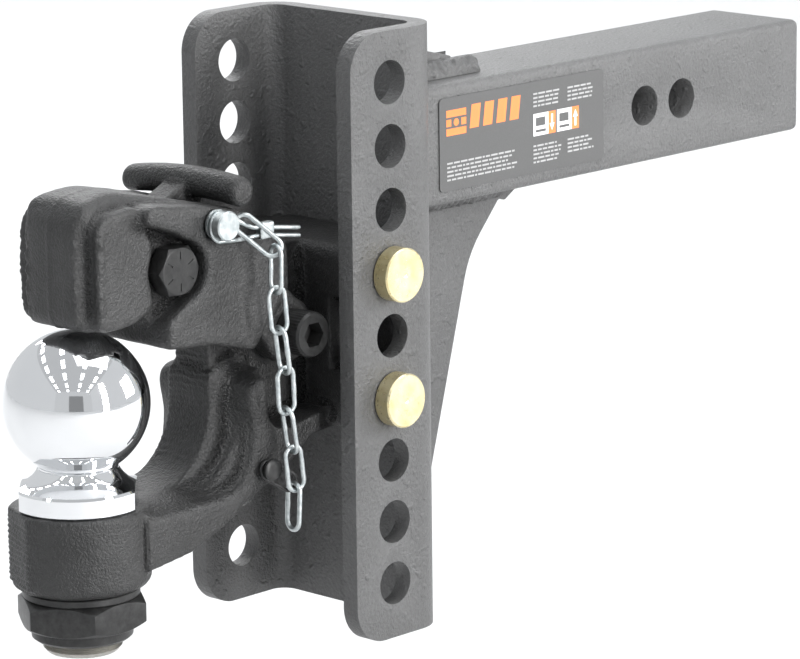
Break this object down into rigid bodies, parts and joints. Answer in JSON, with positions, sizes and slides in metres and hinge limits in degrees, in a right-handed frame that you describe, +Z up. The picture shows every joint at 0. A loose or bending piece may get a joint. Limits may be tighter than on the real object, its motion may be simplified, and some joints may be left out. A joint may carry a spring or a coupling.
{
  "type": "trailer hitch with ball",
  "caption": "Adjustable-height channel hitch on a square shank, with a ball and a pintle hook whose upper jaw opens once its lock pin is drawn.",
  "frame": {"origin": "on the axis of the first cross hole of the shank, at the shank's centre", "axes": "+Z up, +Y along the shank towards the towing vehicle, +X to the side where the lock pin is drawn out"},
  "size_m": [0.1173, 0.4534, 0.253],
  "materials": {
    "channel_paint": "textured dark grey powder coat",
    "forging_paint": "semi-gloss black over a forged surface",
    "chrome": "mirror polished plate",
    "clear_zinc": "bright zinc plate",
    "yellow_zinc": "pale yellow zinc plate",
    "black_oxide": "black oxide",
    "label_film": "printed vinyl film"
  },
  "bodies": {
    "channel_mount": {"shank": "channel_paint", "channel": "channel_paint", "gusset_plate": "channel_paint", "weld_shank": "channel_paint", "weld_gusset_shank_right": "channel_paint", "weld_gusset_shank_left": "channel_paint", "weld_gusset_channel_right": "channel_paint", "weld_gusset_channel_left": "channel_paint", "information_label": "label_film"},
    "pintle": {"pintle_body": "forging_paint", "hitch_ball": "chrome", "ball_lock_washer": "clear_zinc", "ball_nut": "black_oxide", "jaw_pivot_screw": "black_oxide", "jaw_pivot_nut": "black_oxide", "chain_rivet": "black_oxide", "channel_pin_upper": "yellow_zinc", "channel_pin_lower": "yellow_zinc"},
    "upper_jaw": {"upper_jaw": "forging_paint", "latch_bolt": "black_oxide", "latch_bolt_nut": "black_oxide", "latch_spring": "black_oxide"},
    "latch": {"latch_lever": "forging_paint"},
    "lock_pin": {"lock_pin": "clear_zinc", "lock_pin_clip": "clear_zinc", "clip_ferrule": "clear_zinc"},
    "retaining_chain": {"chain_link_1": "clear_zinc", "chain_link_2": "clear_zinc", "chain_link_3": "clear_zinc", "chain_link_4": "clear_zinc", "chain_link_5": "clear_zinc", "chain_link_6": "clear_zinc", "chain_link_7": "clear_zinc", "chain_link_8": "clear_zinc"},
    "anchor_link": {"anchor_link": "clear_zinc"},
    "upper_clip": {"hairpin_clip_upper": "clear_zinc"},
    "lower_clip": {"hairpin_clip_lower": "clear_zinc"}
  },
  "joints": [
    {"name": "height_setting", "type": "slide", "parent": "channel_mount", "child": "pintle", "axis": [0, 0, 1], "range_m": [-0.0783, 0.0783]},
    {"name": "jaw_open", "type": "hinge", "parent": "pintle", "child": "upper_jaw", "pos_m": [0, -0.2167, -0.0643], "axis": [-1, 0, 0], "range_deg": [0, 30]},
    {"name": "latch_lift", "type": "hinge", "parent": "upper_jaw", "child": "latch", "pos_m": [0, -0.282, -0.0288], "axis": [1, 0, 0], "range_deg": [0, 12.5]},
    {"name": "lock_pin_slide", "type": "slide", "parent": "upper_jaw", "child": "lock_pin", "axis": [-1, 0, 0], "range_m": [-0.065, 0]},
    {"name": "chain_hang", "type": "hinge", "parent": "lock_pin", "child": "retaining_chain", "pos_m": [0.031, -0.255, -0.0116], "axis": [-1, 0, 0], "range_deg": [-16, 1]},
    {"name": "anchor_link_swing", "type": "hinge", "parent": "pintle", "child": "anchor_link", "pos_m": [0.0305, -0.24, -0.1164], "axis": [1, 0, 0], "range_deg": [-1, 41]},
    {"name": "upper_clip_pull", "type": "slide", "parent": "pintle", "child": "upper_clip", "axis": [0, 1, 0], "range_m": [0, 0.045]},
    {"name": "lower_clip_pull", "type": "slide", "parent": "pintle", "child": "lower_clip", "axis": [0, 1, 0], "range_m": [0, 0.045]}
  ],
  "couplings": [
    {"joint": "latch_lift", "follows": "jaw_open", "ratio": 0.4},
    {"joint": "chain_hang", "follows": "jaw_open", "ratio": -0.5},
    {"joint": "anchor_link_swing", "follows": "jaw_open", "ratio": 1.35}
  ]
}
